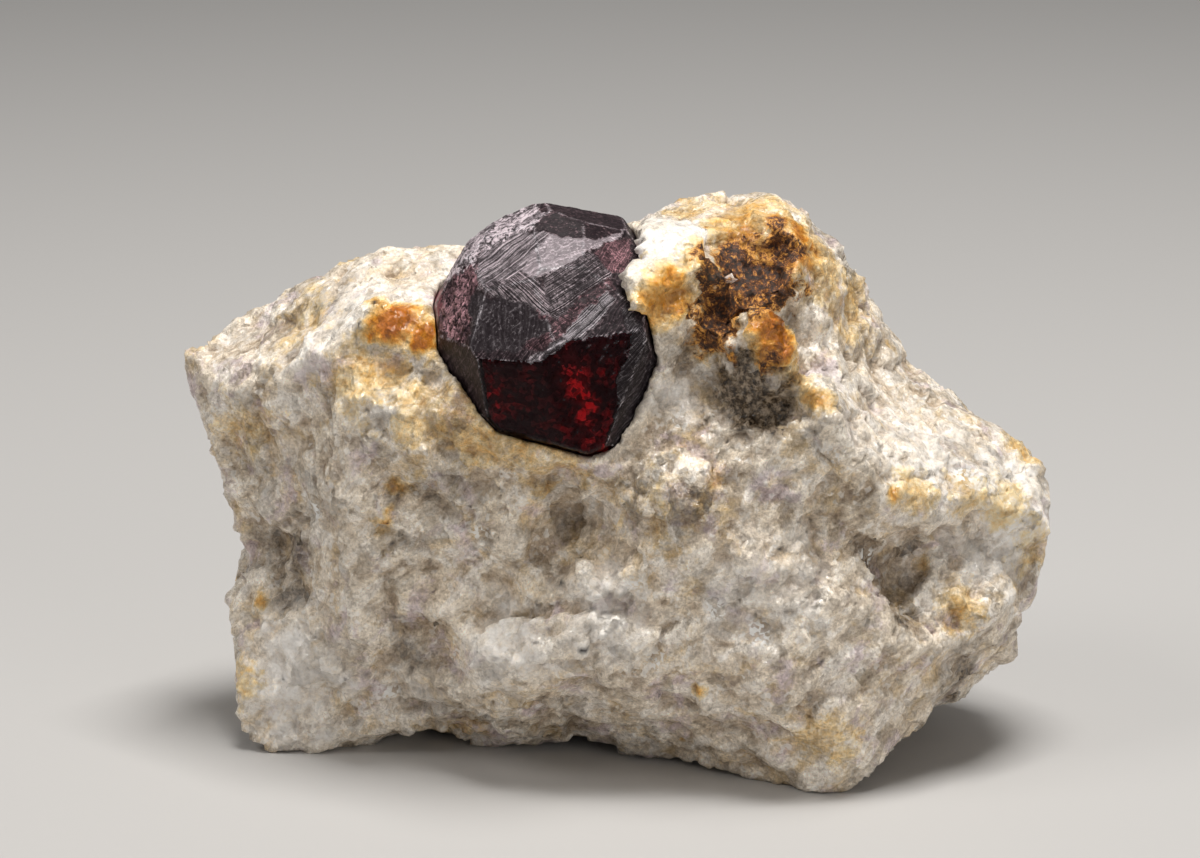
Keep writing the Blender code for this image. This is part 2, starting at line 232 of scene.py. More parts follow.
def broken(points, size):
    """Rough breakage between -1 and 1, with sharp crests."""
    heights = np.array(
        [noise.ridged_multi_fractal(Vector(p) / (size * MM), 0.9, 2.1, 3, 1.0, 2.0) for p in points]
    )
    return np.clip(heights / 1.2 - 1.0, -1.0, 1.0)


def drifts(points, size, fading=0.7, spacing=2.1, layers=4, offset=Vector()):
    """Cloudy noise around nought at each point, its drifts about this many millimetres wide."""
    return np.array(
        [noise.fractal(Vector(p) / (size * MM) + offset, fading, spacing, layers) for p in points]
    )


def vertex_arrays(mesh):
    points = np.empty(len(mesh.vertices) * 3)
    mesh.vertices.foreach_get("co", points)
    normals = np.empty(len(mesh.vertices) * 3)
    mesh.vertex_normals.foreach_get("vector", normals)
    return points.reshape(-1, 3), normals.reshape(-1, 3)


def evened(mesh, points, rounds):
    """The points, each moved towards its neighbours in the mesh that many times."""
    ends = np.empty(len(mesh.edges) * 2, dtype=int)
    mesh.edges.foreach_get("vertices", ends)
    first, second = ends.reshape(-1, 2).T
    count = len(points)
    neighbours = np.bincount(first, minlength=count) + np.bincount(second, minlength=count)
    even = points.copy()
    for _ in range(rounds):
        total = [
            np.bincount(first, even[second, axis], count) + np.bincount(second, even[first, axis], count)
            for axis in range(3)
        ]
        even = even * 0.5 + np.stack(total, axis=1) / neighbours[:, None] * 0.5
    return even


def sunk_below_neighbours(mesh, rounds):
    """How far each point lies below the mesh evened out that many rounds wide, in millimetres."""
    points, normals = vertex_arrays(mesh)
    return ((evened(mesh, points, rounds) - points) * normals).sum(axis=1) / MM


def in_picture(points):
    """Where the camera sees each point: across and up in millimetres from the picture's middle."""
    sight = points - np.array(eye)
    scale = CAMERA_DISTANCE / MM / (sight @ np.array(AWAY))
    return np.stack([sight @ np.array(RIGHT) * scale, sight @ np.array(UP) * scale], axis=1)


def within(places, outline):
    """Whether each place lies inside the outline."""
    across, up = places.T
    inside = np.zeros(len(places), dtype=bool)
    for (across_1, up_1), (across_2, up_2) in zip(outline, outline[1:] + outline[:1]):
        if up_1 != up_2:
            crossing = across_1 + (up - up_1) * (across_2 - across_1) / (up_2 - up_1)
            inside ^= ((up_1 > up) != (up_2 > up)) & (across < crossing)
    return inside


# The blocks and hollows that the light picks out: how far each stands out of the skin, or sinks in, in
# millimetres, and its outline in the front view, in millimetres from the picture's middle.
BLOCKS_AND_HOLLOWS = [
    (0.55, [(-9.2, -15.9), (-7.3, -15.1), (-3.5, -15.0), (1.0, -15.0), (2.5, -15.1), (4.8, -16.2),
            (4.0, -18.4), (1.0, -19.7), (-2.0, -18.2), (-5.8, -18.9), (-10.3, -18.9)]),
    (-0.60, [(-6.0, -13.6), (-4.2, -14.0), (1.0, -13.4), (2.4, -14.9), (-3.5, -14.8), (-7.3, -14.9)]),
    (0.45, [(-28.9, -16.5), (-24.1, -15.0), (-19.9, -19.5), (-24.1, -22.9), (-27.0, -25.4), (-28.6, -24.0)]),
    (0.45, [(-21.0, 5.1), (-18.8, 5.5), (-18.2, -4.1), (-17.2, -13.7), (-18.2, -20.1), (-20.4, -20.9),
            (-19.8, -13.7), (-21.0, -4.1)]),
    (-0.50, [(-26.3, -7.5), (-23.8, -7.0), (-23.0, -11.5), (-24.0, -15.0), (-26.0, -13.5)]),
    (0.45, [(-12.1, -0.1), (-8.0, -1.0), (-4.5, -1.5), (-3.1, -2.9), (-6.5, -3.2), (-11.0, -2.4)]),
    (0.45, [(2.8, -2.7), (5.5, -1.5), (8.5, -2.6), (8.8, -6.0), (6.0, -7.5), (3.2, -6.5)]),
    (-0.40, [(-4.2, -3.4), (-1.9, -3.5), (-1.6, -8.9), (-3.0, -9.1), (-4.4, -6.0)]),
    (0.40, [(-3.5, -10.2), (-0.4, -10.3), (0.0, -12.5), (-1.6, -13.3), (-3.6, -12.4)]),
    (-0.50, [(20.2, -8.6), (23.0, -9.4), (26.4, -9.0), (26.0, -11.6), (24.0, -13.8), (22.2, -13.0)]),
    (0.40, [(8.2, 1.4), (10.6, 1.6), (11.8, 0.6), (11.6, -0.3), (9.0, -0.4)]),
    (0.50, [(11.8, 9.6), (14.5, 9.9), (15.5, 7.6), (15.0, 5.0), (12.6, 5.4), (11.9, 7.6)]),
    (0.40, [(27.5, 3.0), (33.5, 0.0), (35.5, -3.5), (30.0, -4.5), (26.0, -2.0)]),
    (0.45, [(16.0, 6.3), (17.2, 6.6), (19.0, 1.5), (21.2, -3.0), (20.8, -5.7), (19.4, -4.0), (17.0, 0.5)]),
    (0.40, [(10.0, -9.5), (14.5, -8.5), (17.5, -11.0), (16.0, -14.5), (11.5, -14.0)]),
    (0.40, [(-16.5, -11.5), (-12.0, -11.0), (-9.5, -13.0), (-11.5, -15.5), (-16.0, -14.8)]),
    (-0.45, [(-16.5, -15.4), (-12.5, -16.0), (-12.0, -19.0), (-15.5, -19.5)]),
    (0.40, [(7.0, -18.0), (13.0, -17.0), (18.0, -19.5), (15.0, -23.5), (8.0, -22.0)]),
    (-0.40, [(-14.5, -3.6), (-9.0, -3.4), (-7.0, -6.2), (-11.0, -7.6), (-14.5, -6.4)]),
    (0.90, [(1.4, 14.9), (4.7, 16.2), (8.1, 15.4), (8.8, 12.6), (5.8, 11.1), (1.6, 11.4)]),
    (-0.35, [(3.6, 11.9), (7.3, 11.9), (8.4, 10.0), (5.8, 8.9), (3.6, 10.0)]),
    (-0.60, [(8.4, 15.2), (11.8, 15.6), (15.5, 14.9), (15.9, 11.1), (12.6, 10.0),
            (10.7, 7.0), (8.7, 7.8), (8.1, 11.9)]),
    (0.35, [(11.8, 17.8), (14.8, 17.8), (16.7, 16.0), (16.3, 14.1), (14.0, 15.6), (12.2, 16.3)]),
    (-0.45, [(8.8, 6.3), (12.6, 6.3), (13.3, 3.6), (11.8, 0.7), (9.6, -0.1), (8.1, 2.9)]),
    (0.35, [(17.4, 13.4), (20.0, 12.6), (21.1, 8.9), (19.6, 3.6), (17.4, 5.1), (16.7, 9.6)]),
    (0.40, [(21.1, 8.1), (23.8, 8.5), (24.9, 6.3), (23.0, 4.8), (21.1, 5.9)]),
    (0.40, [(20.8, 1.0), (26.0, -0.1), (27.5, -3.1), (23.8, -4.2), (21.1, -2.0)]),
    (0.35, [(27.5, -0.1), (33.5, -2.3), (34.6, -4.9), (29.7, -5.3), (27.1, -3.1)]),
    (-0.40, [(29.7, -6.4), (35.0, -6.8), (35.3, -9.8), (31.2, -10.5), (29.0, -8.3)]),
    (0.35, [(-31.5, 2.9), (-27.8, 3.6), (-26.7, -2.3), (-28.5, -6.1), (-30.8, -2.3)]),
    (-0.35, [(-27.0, -0.1), (-23.3, 0.7), (-22.2, -6.1), (-24.8, -9.1), (-26.7, -5.3)]),
    (0.40, [(-28.5, -11.3), (-24.8, -10.5), (-24.0, -15.0), (-27.0, -16.5)]),
    (0.35, [(-19.9, 3.3), (-14.3, 3.6), (-11.4, 0.7), (-13.6, -2.3), (-18.8, -1.6)]),
    (-0.35, [(-18.1, -3.1), (-13.6, -2.7), (-12.8, -6.1), (-16.6, -6.8)]),
    (0.45, [(11.8, -0.1), (16.3, 0.7), (18.5, -3.1), (16.3, -6.1), (12.6, -4.6)]),
    (-0.35, [(16.3, -6.8), (19.3, -6.1), (20.8, -9.8), (17.8, -11.3)]),
    (0.40, [(17.8, -12.8), (23.0, -13.5), (23.8, -18.0), (19.3, -18.8), (16.3, -15.8)]),
    (0.40, [(28.2, -12.8), (32.7, -12.0), (33.1, -16.5), (29.0, -18.0)]),
    (-0.40, [(-18.8, -20.3), (-11.4, -20.6), (-9.9, -24.0), (-16.6, -23.2)]),
    (0.40, [(-9.1, -21.8), (-3.1, -21.8), (-2.4, -24.7), (-7.6, -25.1)]),
    (0.40, [(2.8, -22.5), (8.8, -21.8), (12.6, -25.5), (5.8, -25.5)]),
]
BLOCK_EDGE_WANDER = 0.55
BLOCK_EDGE_WAVE = 1.3

rock_low, rock_high = (np.array(corner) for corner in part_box("matrix"))
rock = merged_copy(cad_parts["matrix"], "feldspar_rock")
facets = rock.modifiers.new("broad facets", "DECIMATE")
facets.ratio = SKIN_FACETS
as_plain_mesh(rock)
even_skin(rock, SKIN_STEP, SKIN_SOFTENING)
rock_points, rock_normals = vertex_arrays(rock.data)

deepening = np.clip(sunk_below_neighbours(rock.data, RELIEF_REACH), -RELIEF_LIMIT, RELIEF_LIMIT)
rock_points -= rock_normals * (deepening * RELIEF_GAIN * MM)[:, None]

edge_wander = np.array([noise.noise_vector(Vector(p) / (BLOCK_EDGE_WAVE * MM)) for p in rock_points])
rock_seen = in_picture(rock_points) + edge_wander[:, :2] * BLOCK_EDGE_WANDER
rock_front = rock_normals @ np.array(AWAY) < FACES_VIEWER
standing_out = np.zeros(len(rock_points))
for height, outline in BLOCKS_AND_HOLLOWS:
    standing_out += within(rock_seen, outline) * rock_front * height * MM
rock_points += rock_normals * standing_out[:, None]

clear_of_crystal = np.clip((distance_from_crystal(rock_points) - CALM_BY_CRYSTAL) / CALM_FADE, 0.0, 1.0)
for block_size, block_depth in CLEAVED_BLOCKS:
    step = cleave(rock_points, block_size) * block_depth * MM * clear_of_crystal
    rock_points += rock_normals * step[:, None]
step = broken(rock_points, BROKEN_SIZE) * BROKEN_DEPTH * MM * clear_of_crystal
rock_points += rock_normals * step[:, None]

# The skin that faces the crystal is drawn up to it, and what would lie inside it is pushed out.
for _ in range(FIT_ROUNDS):
    heights = above_crystal_faces(rock_points)
    nearest = heights.argmax(axis=1)
    distance = heights.max(axis=1)
    towards = -(rock_normals * garnet_planes[nearest, :3]).sum(axis=1)
    facing = np.clip((towards - 0.1) / 0.4, 0.0, 1.0) * (distance < REACH_TO_CRYSTAL)
    share = np.where(distance < GAP_TO_CRYSTAL, 1.0, facing)
    rock_points += ((GAP_TO_CRYSTAL - distance) * share)[:, None] * garnet_planes[nearest, :3]
at_rim = np.clip(RIM_START - distance_from_crystal(rock_points) / RIM_WIDTH, 0.0, 1.0)[:, None]
rock_points += (evened(rock.data, rock_points, RIM_SOFTENING) - rock_points) * at_rim
for _ in range(RIM_FIT_ROUNDS):
    heights = above_crystal_faces(rock_points)
    too_near = np.clip(GAP_TO_CRYSTAL - heights.max(axis=1), 0.0, None)
    rock_points += too_near[:, None] * garnet_planes[heights.argmax(axis=1), :3]
rock_points = np.clip(rock_points, rock_low, rock_high)
rock.data.vertices.foreach_set("co", rock_points.ravel())
rock.data.update()

# Stains, kinds of stone and patches of painted light, each at its place in the front view: across and up in
# millimetres from the picture's middle, its radius, and how strong it is. Iron runs from pale yellow through
# orange to rust brown, and the thick crusts are brown to black.
IRON_STAINS = [
    (6.0, 11.4, 2.6, 0.74), (4.3, 9.8, 1.6, 0.62), (8.2, 14.0, 1.4, 0.80), (11.1, 15.0, 2.2, 0.80),
    (11.8, 16.6, 2.8, 0.50), (14.1, 16.6, 1.4, 0.90), (16.0, 15.4, 1.6, 0.95), (14.6, 13.6, 2.6, 1.00),
    (11.8, 12.4, 3.6, 1.10), (10.4, 9.0, 3.2, 1.00), (13.4, 9.0, 2.2, 1.10), (13.9, 6.8, 2.2, 0.90),
    (13.2, 5.6, 1.4, 0.60), (15.8, 5.2, 1.8, 0.45), (17.3, 2.5, 1.4, 0.60), (18.4, 12.6, 3.0, 0.36),
    (20.0, 9.0, 2.4, 0.30), (-16.0, 8.6, 2.4, 1.20), (-14.4, 8.0, 2.0, 1.00), (-17.2, 5.0, 2.2, 0.42),
    (-17.2, -7.5, 0.9, 0.62), (-17.0, -6.6, 0.7, 0.60), (-16.2, -4.5, 0.8, 0.50),
    (-27.3, -13.7, 0.6, 0.62), (-10.0, 0.2, 3.4, 0.30), (-5.0, -1.4, 3.6, 0.30),
    (-14.0, 1.0, 3.6, 0.24), (7.8, -20.9, 0.6, 0.72), (6.6, -24.8, 0.35, 0.80),
    (23.4, -5.3, 0.6, 0.66), (25.6, -5.0, 1.8, 0.38), (29.6, -5.2, 1.8, 0.28), (33.0, -6.0, 2.4, 0.24),
    (25.8, -10.8, 0.8, 0.50), (34.4, -9.6, 2.4, 0.22), (34.0, -1.6, 2.0, 0.30),
    (28.8, -14.0, 2.0, 0.30), (-20.0, 3.8, 3.0, 0.26), (-23.0, 8.6, 3.0, 0.20),
    (-28.0, 0.0, 3.0, 0.16), (9.0, -4.0, 1.0, 0.36), (-28.6, -20.0, 2.0, 0.26),
    (-10.8, -23.8, 1.4, 0.36), (17.6, -25.2, 2.4, 0.24), (4.6, -6.0, 4.0, 0.10),
    (8.0, 17.6, 2.6, 0.26), (12.0, 18.0, 2.6, 0.34),
]
RUST_CRUSTS = [
    (11.4, 12.0, 3.0, 1.10), (9.2, 12.2, 1.6, 1.10), (14.6, 14.4, 1.7, 0.85), (13.9, 11.6, 2.2, 1.00),
    (10.4, 9.4, 3.1, 1.00), (9.0, 7.4, 1.8, 0.80), (14.1, 16.4, 0.9, 0.60), (8.0, 14.2, 0.8, 0.55),
    (12.6, 9.6, 1.2, 0.60), (13.2, 5.4, 0.9, 0.45), (-17.2, -7.6, 0.5, 0.40),
]
SMOKY_QUARTZ = [
    (-24.8, -10.5, 3.6, 0.55), (-26.0, -9.3, 2.4, 0.55), (-3.2, -4.6, 1.7, 0.62),
    (-2.6, -7.2, 1.9, 0.62), (12.0, 2.9, 3.2, 1.30), (11.5, 5.4, 1.8, 1.20), (-14.8, -17.3, 2.6, 0.60),
    (-9.0, -5.5, 3.0, 0.32), (-13.0, -3.6, 3.0, 0.40), (23.6, -11.4, 4.2, 0.55),
    (22.0, -9.6, 2.6, 0.50), (7.0, 6.4, 2.6, 0.50), (4.8, 0.8, 2.0, 0.40), (2.6, -0.6, 2.4, 0.35),
    (-1.0, -23.0, 4.0, 0.22), (-12.0, -21.6, 3.4, 0.20), (28.0, -20.4, 3.6, 0.65),
    (5.0, -5.7, 3.8, 0.42), (-6.4, -9.4, 2.6, 0.30), (-22.4, -4.0, 2.6, 0.30),
]
# Whiter feldspar, partly real white stone and partly painted light: some patches stand in for fuzzy glints
# and brighter-lit places.
WHITE_FELDSPAR_AND_PAINTED_LIGHT = [
    (4.4, 13.9, 3.2, 1.0), (7.0, 16.2, 2.8, 0.8), (5.5, 3.0, 2.0, 0.7), (-22.0, 8.6, 5.0, 0.5),
    (-17.6, 1.8, 3.0, 0.6), (-7.0, -17.4, 3.6, 0.8), (0.0, -15.6, 3.6, 0.8), (27.0, -2.0, 5.5, 0.6),
    (32.6, -3.6, 3.2, 0.6), (14.0, -12.6, 4.0, 0.4), (33.6, -7.4, 5.0, 1.0), (-25.0, -19.8, 5.0, 0.9),
    (20.4, 0.4, 3.2, 0.4), (-14.4, -21.4, 2.4, 0.5),
]
# Painted glints: in these patches small grains are painted near white, as highlights off cleavage faces.
PAINTED_CLEAVAGE_GLINTS = [
    (-22.6, -6.4, 1.0, 1.0), (12.6, -16.3, 1.1, 1.0), (21.1, -10.4, 0.8, 1.0), (4.3, -18.4, 1.0, 0.8),
    (-17.0, -21.0, 1.1, 0.9), (5.8, 0.6, 0.8, 0.8), (-9.6, -8.2, 0.8, 0.8), (18.6, -2.4, 1.2, 0.8),
    (9.4, -14.4, 0.8, 0.8), (-23.0, -11.4, 0.8, 0.7), (29.0, -3.4, 1.2, 0.7), (2.8, -12.4, 0.7, 0.7),
]
BLACK_SPECKS = [
    (-16.7, -9.2, 0.18, 1.0), (-17.2, -9.9, 0.14, 1.0), (-1.3, -17.8, 0.24, 1.0), (-19.2, 8.5, 0.20, 1.0),
    (-18.0, 10.1, 0.24, 1.0), (14.3, -9.6, 0.18, 1.0), (-3.0, -12.2, 0.18, 1.0), (-16.2, -15.0, 0.20, 1.0),
    (8.4, -3.4, 0.18, 1.0), (17.6, -18.6, 0.18, 1.0),
]
PATCH_EDGE = 0.9
SPECK_EDGE = 0.5
PATCH_REACH = 1.35
RAGGED_SIZE = 2.6
RAGGED_DEPTH = 0.75
BACK_STAIN_SIZE = 9.0
BACK_STAIN_PLACE = Vector((4, 7, 2))
BACK_STAIN_MOST = 0.36
BACK_STARTS = 2 * MM


def seen_place(across, up, surface):
    """The point of the surface that the camera sees at this place in the front view."""
    ray = AWAY * CAMERA_DISTANCE + (RIGHT * across + UP * up) * MM
    return surface.ray_cast(eye, ray.normalized())[0]


def patches(points, places, surface, soft_edge):
    """The strength of the strongest patch at each point, with a ragged edge."""
    ragged = drifts(points, RAGGED_SIZE) * RAGGED_DEPTH
    strength = np.zeros(len(points))
    for across, up, radius, amount in places:
        centre = seen_place(across, up, surface)
        if centre is None:
            continue
        reach = np.linalg.norm(points - np.array(centre), axis=1) / (radius * MM) + ragged
        strength = np.maximum(strength, amount * np.clip((PATCH_REACH - reach) / soft_edge, 0.0, 1.0))
    return strength


def store(mesh, name, values):
    """Keeps a value for each vertex under this name, for the material to read."""
    layer = mesh.attributes.new(name, "FLOAT", "POINT")
    layer.data.foreach_set("value", np.asarray(values, dtype=np.float32))


rock_surface = bvhtree.BVHTree.FromPolygons(
    [tuple(p) for p in rock_points], [tuple(face.vertices) for face in rock.data.polygons]
)
for name, places, soft_edge in (
    ("rust", RUST_CRUSTS, PATCH_EDGE),
    ("smoke", SMOKY_QUARTZ, PATCH_EDGE),
    ("white_and_painted_light", WHITE_FELDSPAR_AND_PAINTED_LIGHT, PATCH_EDGE),
    ("painted_glint", PAINTED_CLEAVAGE_GLINTS, PATCH_EDGE),
    ("speck", BLACK_SPECKS, SPECK_EDGE),
):
    store(rock.data, name, patches(rock_points, places, rock_surface, soft_edge))
front_iron = patches(rock_points, IRON_STAINS, rock_surface, PATCH_EDGE)
back_drifts = drifts(rock_points, BACK_STAIN_SIZE, 0.8, 2.0, 3, BACK_STAIN_PLACE)
back_iron = np.clip(back_drifts * 0.8 - 0.12, 0.0, BACK_STAIN_MOST) * (rock_points[:, 1] > BACK_STARTS)
store(rock.data, "iron", np.maximum(front_iron, back_iron))
# Painted shade and light: how far each point sinks below or stands out of its neighbours, for darker hollows
# and lighter raised places.
sunk = sum(sunk_below_neighbours(rock.data, rounds) / full for rounds, full in HOLLOW_REACHES) / 2
store(rock.data, "painted_shade_in_hollows", np.clip(sunk, 0.0, 1.0))
store(rock.data, "painted_light_on_raised_places", np.clip(-sunk, 0.0, 1.0))

# The stone's colour is laid on in turns: cloudy cream, grains and chunks, wisps, painted shade in the hollows
# and painted light on the raised places, stains, then rust.
# These functions add to whichever material is being made. Sizes are in millimetres.
STONE_IOR = 1.53
TRACE = 0.02
FULL_TURN = 6.3
feldspar, tree, shader = principled("feldspar and quartz")


def node(kind, **settings):
    made = tree.nodes.new(kind)
    for name, value in settings.items():
        setattr(made, name, value)
    return made


def link(output, socket):
    tree.links.new(output, socket)


def feed(value, socket):
    """Links a node's output to the socket, or sets the socket to a plain value."""
    if isinstance(value, bpy.types.NodeSocket):
        link(value, socket)
    elif isinstance(value, tuple) and len(socket.default_value) == 4:
        socket.default_value = (*value, 1.0)
    else:
        socket.default_value = value


def grey(level):
    return (level, level, level)


def attribute(name):
    return node("ShaderNodeAttribute", attribute_name=name).outputs["Fac"]


def cells(size):
    """A random colour for each grain of about this size."""
    made = node("ShaderNodeTexVoronoi", feature="F1")
    made.inputs["Scale"].default_value = 1000.0 / size
    made.inputs["Randomness"].default_value = 1.0
    link(place_on_stone, made.inputs["Vector"])
    return made.outputs["Color"]


def grains(size):
    """Three random numbers, called Red, Green and Blue, for each grain of about this size."""
    made = node("ShaderNodeSeparateColor")
    link(cells(size), made.inputs["Color"])
    return made.outputs


def cloud(size, detail=3.0, roughness=0.55, wisps=0.0, place=None):
    """Cloudy noise around a half, with drifts of about this size."""
    made = node("ShaderNodeTexNoise")
    made.inputs["Scale"].default_value = 1000.0 / size
    made.inputs["Detail"].default_value = detail
    made.inputs["Roughness"].default_value = roughness
    made.inputs["Distortion"].default_value = wisps
    link(place or texture_place, made.inputs["Vector"])
    return made.outputs["Fac"]


def drawn_out(turn, stretch, place=None):
    """Places drawn out along one direction, so that a pattern laid on them runs in streaks."""
    made = node("ShaderNodeMapping", vector_type="TEXTURE")
    made.inputs["Rotation"].default_value = turn
    made.inputs["Scale"].default_value = (stretch, 1.0, 1.0)
    link(place or texture_place, made.inputs["Vector"])
    return made.outputs["Vector"]


def turned_in_each_grain(size):
    """Places turned differently in each grain, because each grain's cleavage runs a way of its own."""
    made = node("ShaderNodeVectorRotate", rotation_type="EULER_XYZ")
    link(texture_place, made.inputs["Vector"])
    link(vector_node("MULTIPLY", cells(size), grey(FULL_TURN)), made.inputs["Rotation"])
    return made.outputs["Vector"]


def ramp(value, stops):
    """The value turned into a colour, or a grey level, between the stops on either side of it."""
    made = node("ShaderNodeValToRGB")
    while len(made.color_ramp.elements) < len(stops):
        made.color_ramp.elements.new(0.5)
    for element, (position, colour) in zip(made.color_ramp.elements, stops):
        element.position = position
        element.color = (*colour, 1.0)
    link(value, made.inputs["Fac"])
    return made.outputs["Color"]


def mix(factor, first, second, blend="MIX"):
    made = node("ShaderNodeMix", data_type="RGBA", blend_type=blend)
    for value, name in ((factor, "Factor"), (first, "A"), (second, "B")):
        feed(value, made.inputs[name])
    return made.outputs["Result"]


def math_node(operation, first, second=0.0, third=0.0, clamp=False):
    made = node("ShaderNodeMath", operation=operation, use_clamp=clamp)
    for value, socket in zip((first, second, third), made.inputs):
        feed(value, socket)
    return made.outputs["Value"]


def vector_node(operation, first, second):
    made = node("ShaderNodeVectorMath", operation=operation)
    for value, socket in zip((first, second), made.inputs):
        feed(value, socket)
    return made.outputs["Vector"]


def bump(height, depth, strength, over=None):
    """The skin's direction with small relief of this depth on it, over another relief if one is given."""
    made = node("ShaderNodeBump")
    made.inputs["Distance"].default_value = depth * MM
    feed(strength, made.inputs["Strength"])
    link(height, made.inputs["Height"])
    if over:
        link(over, made.inputs["Normal"])
    return made.outputs["Normal"]


# The places of the grains are bent a little, so that the grains don't meet in straight lines.
texture_place = node("ShaderNodeTexCoord").outputs["Object"]
wobble = node("ShaderNodeTexNoise")
wobble.inputs["Scale"].default_value = 900.0
wobble.inputs["Detail"].default_value = 2.0
link(texture_place, wobble.inputs["Vector"])
bent = node("ShaderNodeVectorMath", operation="MULTIPLY_ADD")
link(wobble.outputs["Color"], bent.inputs[0])
bent.inputs[1].default_value = grey(0.8 * MM)
link(texture_place, bent.inputs[2])
place_on_stone = bent.outputs["Vector"]

chunks = grains(3.6)
big_grains = grains(1.9)
small_grains = grains(0.8)
fine_grains = grains(0.42)
layers = drawn_out((0.0, -0.7, 0.2), 1.9)
fibres = drawn_out((0.0, 0.0, 0.0), 1.5, turned_in_each_grain(1.3))

stone = ramp(cloud(8.5, 4.0, 0.55, 0.4), [
    (0.34, (0.54, 0.44, 0.34)), (0.46, (0.78, 0.64, 0.46)),
    (0.56, (0.90, 0.76, 0.55)), (0.66, (0.96, 0.88, 0.76)),
])
grain_colour = ramp(big_grains["Red"], [
    (0.0, (0.86, 0.78, 0.66)), (0.35, (0.58, 0.50, 0.42)),
    (0.6, (0.90, 0.84, 0.76)), (1.0, (0.70, 0.60, 0.47)),
])
stone = mix(0.35, stone, grain_colour)
chunk_colour = ramp(chunks["Red"], [
    (0.0, (0.84, 0.72, 0.54)), (0.25, (0.52, 0.45, 0.40)), (0.5, (0.92, 0.86, 0.78)),
    (0.75, (0.60, 0.48, 0.34)), (1.0, (0.95, 0.92, 0.86)),
])
stone = mix(0.50, stone, chunk_colour)
wisps = ramp(cloud(2.6, 6.0, 0.66, 0.9, layers), [
    (0.37, (0.28, 0.21, 0.15)), (0.43, (0.56, 0.46, 0.35)),
    (0.50, (0.84, 0.73, 0.58)), (0.57, (1.0, 0.96, 0.90)),
])
stone = mix(0.70, stone, wisps)
# Painted shade in the hollows of the skin, and painted light on its raised places.
stone = mix(math_node("MULTIPLY", attribute("painted_shade_in_hollows"), 0.60), stone, (0.40, 0.29, 0.19))
stone = mix(math_node("MULTIPLY", attribute("painted_light_on_raised_places"), 0.50), stone, (0.96, 0.88, 0.76))
yellowing = ramp(cloud(3.2, 5.0, 0.66, 0.5), [(0.54, grey(0.0)), (0.64, grey(0.60))])
stone = mix(yellowing, stone, (0.72, 0.53, 0.27))
lilac = ramp(cloud(3.6, 5.0, 0.66, 0.4), [(0.36, grey(0.6)), (0.45, grey(0.0))])
stone = mix(lilac, stone, (0.60, 0.49, 0.56))

grain_shade = ramp(small_grains["Green"], [
    (0.0, (0.80, 0.78, 0.76)), (0.6, (1.0, 1.0, 1.0)), (1.0, (1.1, 1.09, 1.07)),
])
stone = mix(0.7, stone, grain_shade, "MULTIPLY")
fibre_shade = ramp(cloud(0.42, 3.0, 0.85, 0.8, fibres), [
    (0.34, (0.58, 0.54, 0.49)), (0.50, (1.0, 0.99, 0.98)), (0.66, (1.3, 1.3, 1.29)),
])
stone = mix(0.70, stone, fibre_shade, "MULTIPLY")
grit_shade = ramp(cloud(0.24, 2.0, 0.7), [
    (0.36, (0.66, 0.62, 0.58)), (0.50, (1.0, 1.0, 1.0)), (0.64, (1.32, 1.31, 1.30)),
])
stone = mix(0.5, stone, grit_shade, "MULTIPLY")
# Painted sparkle: some of the finest grains, in drifts, are painted near white as glints.
painted_sparkle = math_node("GREATER_THAN", fine_grains["Red"], 0.86)
painted_sparkle_drifts = ramp(cloud(3.0, 5.0, 0.7), [(0.46, grey(0.2)), (0.60, grey(1.0))])
painted_sparkle_here = math_node("MULTIPLY", painted_sparkle, painted_sparkle_drifts)
stone = mix(math_node("MULTIPLY", painted_sparkle_here, 0.5), stone, (1.0, 0.98, 0.94))
# The whiter patches are partly white feldspar and partly painted light.
white_drifts = ramp(cloud(1.0, 5.0, 0.7, 0.4), [(0.3, grey(0.25)), (0.6, grey(1.0))])
whiter_and_painted_light = math_node("MULTIPLY", attribute("white_and_painted_light"), white_drifts, clamp=True)
stone = mix(whiter_and_painted_light, stone, (0.97, 0.94, 0.90))

quartz_grain = math_node("GREATER_THAN", big_grains["Blue"], 0.80)
grain_chance = math_node("ADD", chunks["Green"], big_grains["Green"])
smoke_edge = math_node("MULTIPLY_ADD", math_node("SUBTRACT", grain_chance, 1.0), 0.40, attribute("smoke"))
smoke_there = ramp(smoke_edge, [(0.12, grey(0.0)), (0.42, grey(0.42)), (0.85, grey(1.0))])
smoke_there = math_node("MULTIPLY", smoke_there, math_node("GREATER_THAN", attribute("smoke"), TRACE))
smoke_amount = math_node("MAXIMUM", smoke_there, math_node("MULTIPLY", quartz_grain, 0.30))
smoky_colour = ramp(cloud(0.5, 3.0, 0.8), [
    (0.40, (0.03, 0.02, 0.012)), (0.50, (0.13, 0.092, 0.056)), (0.62, (0.36, 0.28, 0.20)),
])
stone = mix(smoke_amount, stone, smoky_colour)

iron_clouds = math_node("ADD", cloud(2.6, 5.0, 0.65, 0.6), cloud(0.7, 4.0, 0.75, 0.4))
iron_clouds = math_node("SUBTRACT", iron_clouds, 1.0)
iron_there = math_node("GREATER_THAN", attribute("iron"), TRACE)
iron_here = math_node("MULTIPLY_ADD", iron_clouds, 0.9, attribute("iron"))
iron_here = math_node("MULTIPLY", iron_here, iron_there, clamp=True)
iron_tint = ramp(iron_here, [
    (0.0, (1.0, 1.0, 1.0)), (0.25, (0.98, 0.84, 0.56)), (0.55, (0.95, 0.62, 0.22)),
    (0.80, (0.80, 0.37, 0.05)), (1.0, (0.56, 0.20, 0.02)),
])
stone = mix(1.0, stone, iron_tint, "MULTIPLY")
rust_there = math_node("GREATER_THAN", attribute("rust"), TRACE)
rust_here = math_node("MULTIPLY_ADD", iron_clouds, 1.9, attribute("rust"))
rust_here = math_node("MULTIPLY", rust_here, rust_there, clamp=True)
